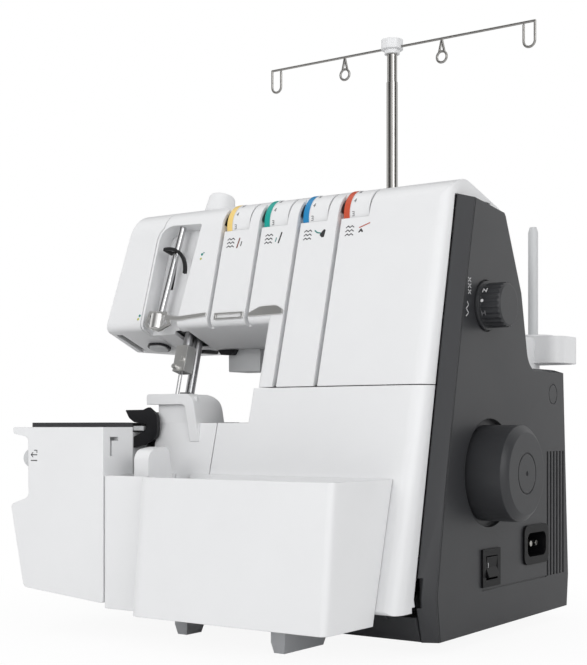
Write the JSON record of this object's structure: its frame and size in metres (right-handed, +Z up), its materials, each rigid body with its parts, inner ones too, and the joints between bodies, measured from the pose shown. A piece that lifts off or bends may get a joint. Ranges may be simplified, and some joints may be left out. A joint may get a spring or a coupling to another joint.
{
  "type": "serger overlock machine",
  "caption": "Domestic four-thread overlock sewing machine with leaning front, thumbwheel tensions, trim bin, slide-off extension table and telescopic thread stand.",
  "frame": {"origin": "middle of the outline, on the surface it stands on", "axes": "+X to the handwheel side, +Y to the back, +Z up"},
  "size_m": [0.3359, 0.306, 0.447],
  "materials": {
    "white_plastic": "satin moulded",
    "dark_plastic": "fine-grained moulded",
    "black_plastic": "moulded",
    "light_plastic": "moulded",
    "dark_plate": "moulded plate",
    "chrome_steel": "polished",
    "steel": "ground",
    "cast_alloy": "as cast",
    "motor_steel": "painted",
    "belt_rubber": "moulded",
    "brass_pins": "plated",
    "board": "lacquered",
    "foot_rubber": "moulded"
  },
  "bodies": {
    "casing": {"base_tray": "dark_plastic", "feet": "foot_rubber", "right_side_cover": "dark_plastic", "front_upper_cover": "white_plastic", "face_cover": "white_plastic", "rear_cover": "white_plastic", "finger_guard": "white_plastic", "bed_arm": "light_plastic", "bed_plate": "dark_plate", "needle_plate": "chrome_steel", "spool_stand": "white_plastic", "spool_pins": "light_plastic", "pole_outer_tube": "chrome_steel", "tension_axle": "steel", "shaft_bearings": "steel", "drive_belt": "belt_rubber", "motor": "motor_steel", "frame_casting": "cast_alloy", "switch_housing": "black_plastic", "power_inlet": "black_plastic", "inlet_pins": "brass_pins", "lower_knife": "steel", "thread_guide_rod": "chrome_steel", "thread_guide_bar": "chrome_steel", "circuit_board": "board", "sewing_lamp": "light_plastic", "lamp_lens": "light_plastic", "lamp_bezel": "black_plastic", "head_clips": "black_plastic", "looper_shield": "black_plastic", "shield_lever": "light_plastic", "cover_screws": "steel"},
    "hinge_rod": {"cover_hinge_rod": "steel"},
    "front_door": {"looper_cover": "white_plastic"},
    "bin": {"trim_bin": "white_plastic"},
    "table": {"extension_table": "white_plastic", "table_plate": "dark_plate"},
    "table_button": {"table_release_button": "light_plastic"},
    "feed": {"feed_dogs": "steel"},
    "pole": {"pole_inner_tube": "chrome_steel"},
    "guide": {"antenna_cap": "white_plastic", "antenna_wire": "chrome_steel"},
    "tension_1": {"tension_dial_1": "white_plastic"},
    "tension_2": {"tension_dial_2": "white_plastic"},
    "tension_3": {"tension_dial_3": "white_plastic"},
    "tension_4": {"tension_dial_4": "white_plastic"},
    "stitch": {"stitch_dial": "dark_plastic"},
    "drive": {"handwheel": "dark_plastic", "main_shaft": "steel", "shaft_pulley": "black_plastic"},
    "motor_spindle": {"motor_pulley": "black_plastic"},
    "rocker": {"switch_rocker": "black_plastic"},
    "arm_rocker": {"arm_shaft": "steel"},
    "needle": {"needle_bar": "steel", "needle_clamp": "steel", "needles": "steel", "take_up_lever": "black_plastic"},
    "presser": {"presser_bar": "steel", "presser_foot": "chrome_steel", "presser_spring": "steel"},
    "lifter": {"presser_lifter": "black_plastic"},
    "pressure": {"pressure_knob": "white_plastic"},
    "looper_upper": {"upper_looper": "steel"},
    "looper_lower": {"lower_looper": "steel"},
    "knife_upper": {"upper_knife": "steel"}
  },
  "joints": [
    {"name": "looper_cover_slide", "type": "slide", "parent": "casing", "child": "hinge_rod", "axis": [1, 0, 0], "range_m": [0, 0.003]},
    {"name": "looper_cover_tip", "type": "hinge", "parent": "hinge_rod", "child": "front_door", "pos_m": [0.05092, -0.086, 0.042], "axis": [1, 0, 0], "range_deg": [0, 65]},
    {"name": "trim_bin_pull", "type": "slide", "parent": "casing", "child": "bin", "axis": [0, -1, 0], "range_m": [0, 0.1475]},
    {"name": "table_slide", "type": "slide", "parent": "casing", "child": "table", "axis": [-1, 0, 0], "range_m": [0, 0.085]},
    {"name": "table_button_press", "type": "slide", "parent": "table", "child": "table_button", "axis": [1, 0, 0], "range_m": [0, 0.003], "stiffness_N_per_m": 400},
    {"name": "pole_raise", "type": "slide", "parent": "casing", "child": "pole", "axis": [0, 0, 1], "range_m": [0, 0.16]},
    {"name": "guide_turn", "type": "hinge", "parent": "pole", "child": "guide", "pos_m": [0.01293, 0.096, 0.44], "axis": [0, 0, 1], "range_deg": [-90, 90]},
    {"name": "tension_dial_1_turn", "type": "hinge", "parent": "casing", "child": "tension_1", "pos_m": [-0.04408, -0.00924, 0.2902], "axis": [1, 0, 0], "range_deg": [-150, 150]},
    {"name": "tension_dial_2_turn", "type": "hinge", "parent": "casing", "child": "tension_2", "pos_m": [-0.01008, -0.00924, 0.2902], "axis": [1, 0, 0], "range_deg": [-150, 150]},
    {"name": "tension_dial_3_turn", "type": "hinge", "parent": "casing", "child": "tension_3", "pos_m": [0.02392, -0.00924, 0.2902], "axis": [1, 0, 0], "range_deg": [-150, 150]},
    {"name": "tension_dial_4_turn", "type": "hinge", "parent": "casing", "child": "tension_4", "pos_m": [0.05792, -0.00924, 0.2902], "axis": [1, 0, 0], "range_deg": [-150, 150]},
    {"name": "stitch_dial_turn", "type": "hinge", "parent": "casing", "child": "stitch", "pos_m": [0.14092, 0.003, 0.225], "axis": [1, 0, 0], "range_deg": [-150, 150]},
    {"name": "handwheel_turn", "type": "hinge", "parent": "casing", "child": "drive", "pos_m": [0.14092, 0.009, 0.113], "axis": [1, 0, 0], "continuous": true},
    {"name": "motor_spin", "type": "hinge", "parent": "casing", "child": "motor_spindle", "pos_m": [0.11693, 0.088, 0.076], "axis": [1, 0, 0], "continuous": true},
    {"name": "switch_rock", "type": "hinge", "parent": "casing", "child": "rocker", "pos_m": [0.13892, 0.009, 0.0495], "axis": [0, 1, 0], "range_deg": [0, 14]},
    {"name": "needle_drive_rock", "type": "hinge", "parent": "casing", "child": "arm_rocker", "pos_m": [-0.04908, 0.03, 0.238], "axis": [1, 0, 0], "range_deg": [0, 30]},
    {"name": "needle_bar_slide", "type": "slide", "parent": "casing", "child": "needle", "axis": [0, -0.2521, -0.9677], "range_m": [0, 0.024]},
    {"name": "upper_looper_rock", "type": "hinge", "parent": "casing", "child": "looper_upper", "pos_m": [-0.02707, -0.062, 0.092], "axis": [0, 1, 0], "range_deg": [0, 14]},
    {"name": "lower_looper_rock", "type": "hinge", "parent": "casing", "child": "looper_lower", "pos_m": [-0.04507, -0.05, 0.076], "axis": [0, 1, 0], "range_deg": [0, 20]},
    {"name": "upper_knife_rock", "type": "hinge", "parent": "casing", "child": "knife_upper", "pos_m": [-0.06008, -0.036, 0.152], "axis": [1, 0, 0], "range_deg": [0, 6]},
    {"name": "feed_dog_stroke", "type": "slide", "parent": "casing", "child": "feed", "axis": [0, 1, 0], "range_m": [0, 0.003]},
    {"name": "presser_bar_lift", "type": "slide", "parent": "casing", "child": "presser", "axis": [0, 0.2521, 0.9677], "range_m": [0, 0.0055]},
    {"name": "presser_lifter_raise", "type": "hinge", "parent": "casing", "child": "lifter", "pos_m": [-0.06507, 0.051, 0.23], "axis": [1, 0, 0], "range_deg": [0, 60]},
    {"name": "pressure_knob_turn", "type": "hinge", "parent": "casing", "child": "pressure", "pos_m": [-0.08908, 0.00519, 0.3], "axis": [0, 0.2521, 0.9677], "range_deg": [0, 360]}
  ],
  "couplings": [
    {"joint": "trim_bin_pull", "follows": "looper_cover_tip", "m_per_rad": 0.13},
    {"joint": "motor_spin", "follows": "handwheel_turn", "ratio": 4.8333},
    {"joint": "needle_bar_slide", "follows": "needle_drive_rock", "m_per_rad": 0.045836},
    {"joint": "upper_looper_rock", "follows": "needle_drive_rock", "ratio": 0.46667},
    {"joint": "lower_looper_rock", "follows": "needle_drive_rock", "ratio": 0.66667},
    {"joint": "upper_knife_rock", "follows": "needle_drive_rock", "ratio": 0.2},
    {"joint": "feed_dog_stroke", "follows": "needle_drive_rock", "m_per_rad": 0.005729},
    {"joint": "presser_lifter_raise", "follows": "presser_bar_lift", "rad_per_m": 190.37}
  ]
}
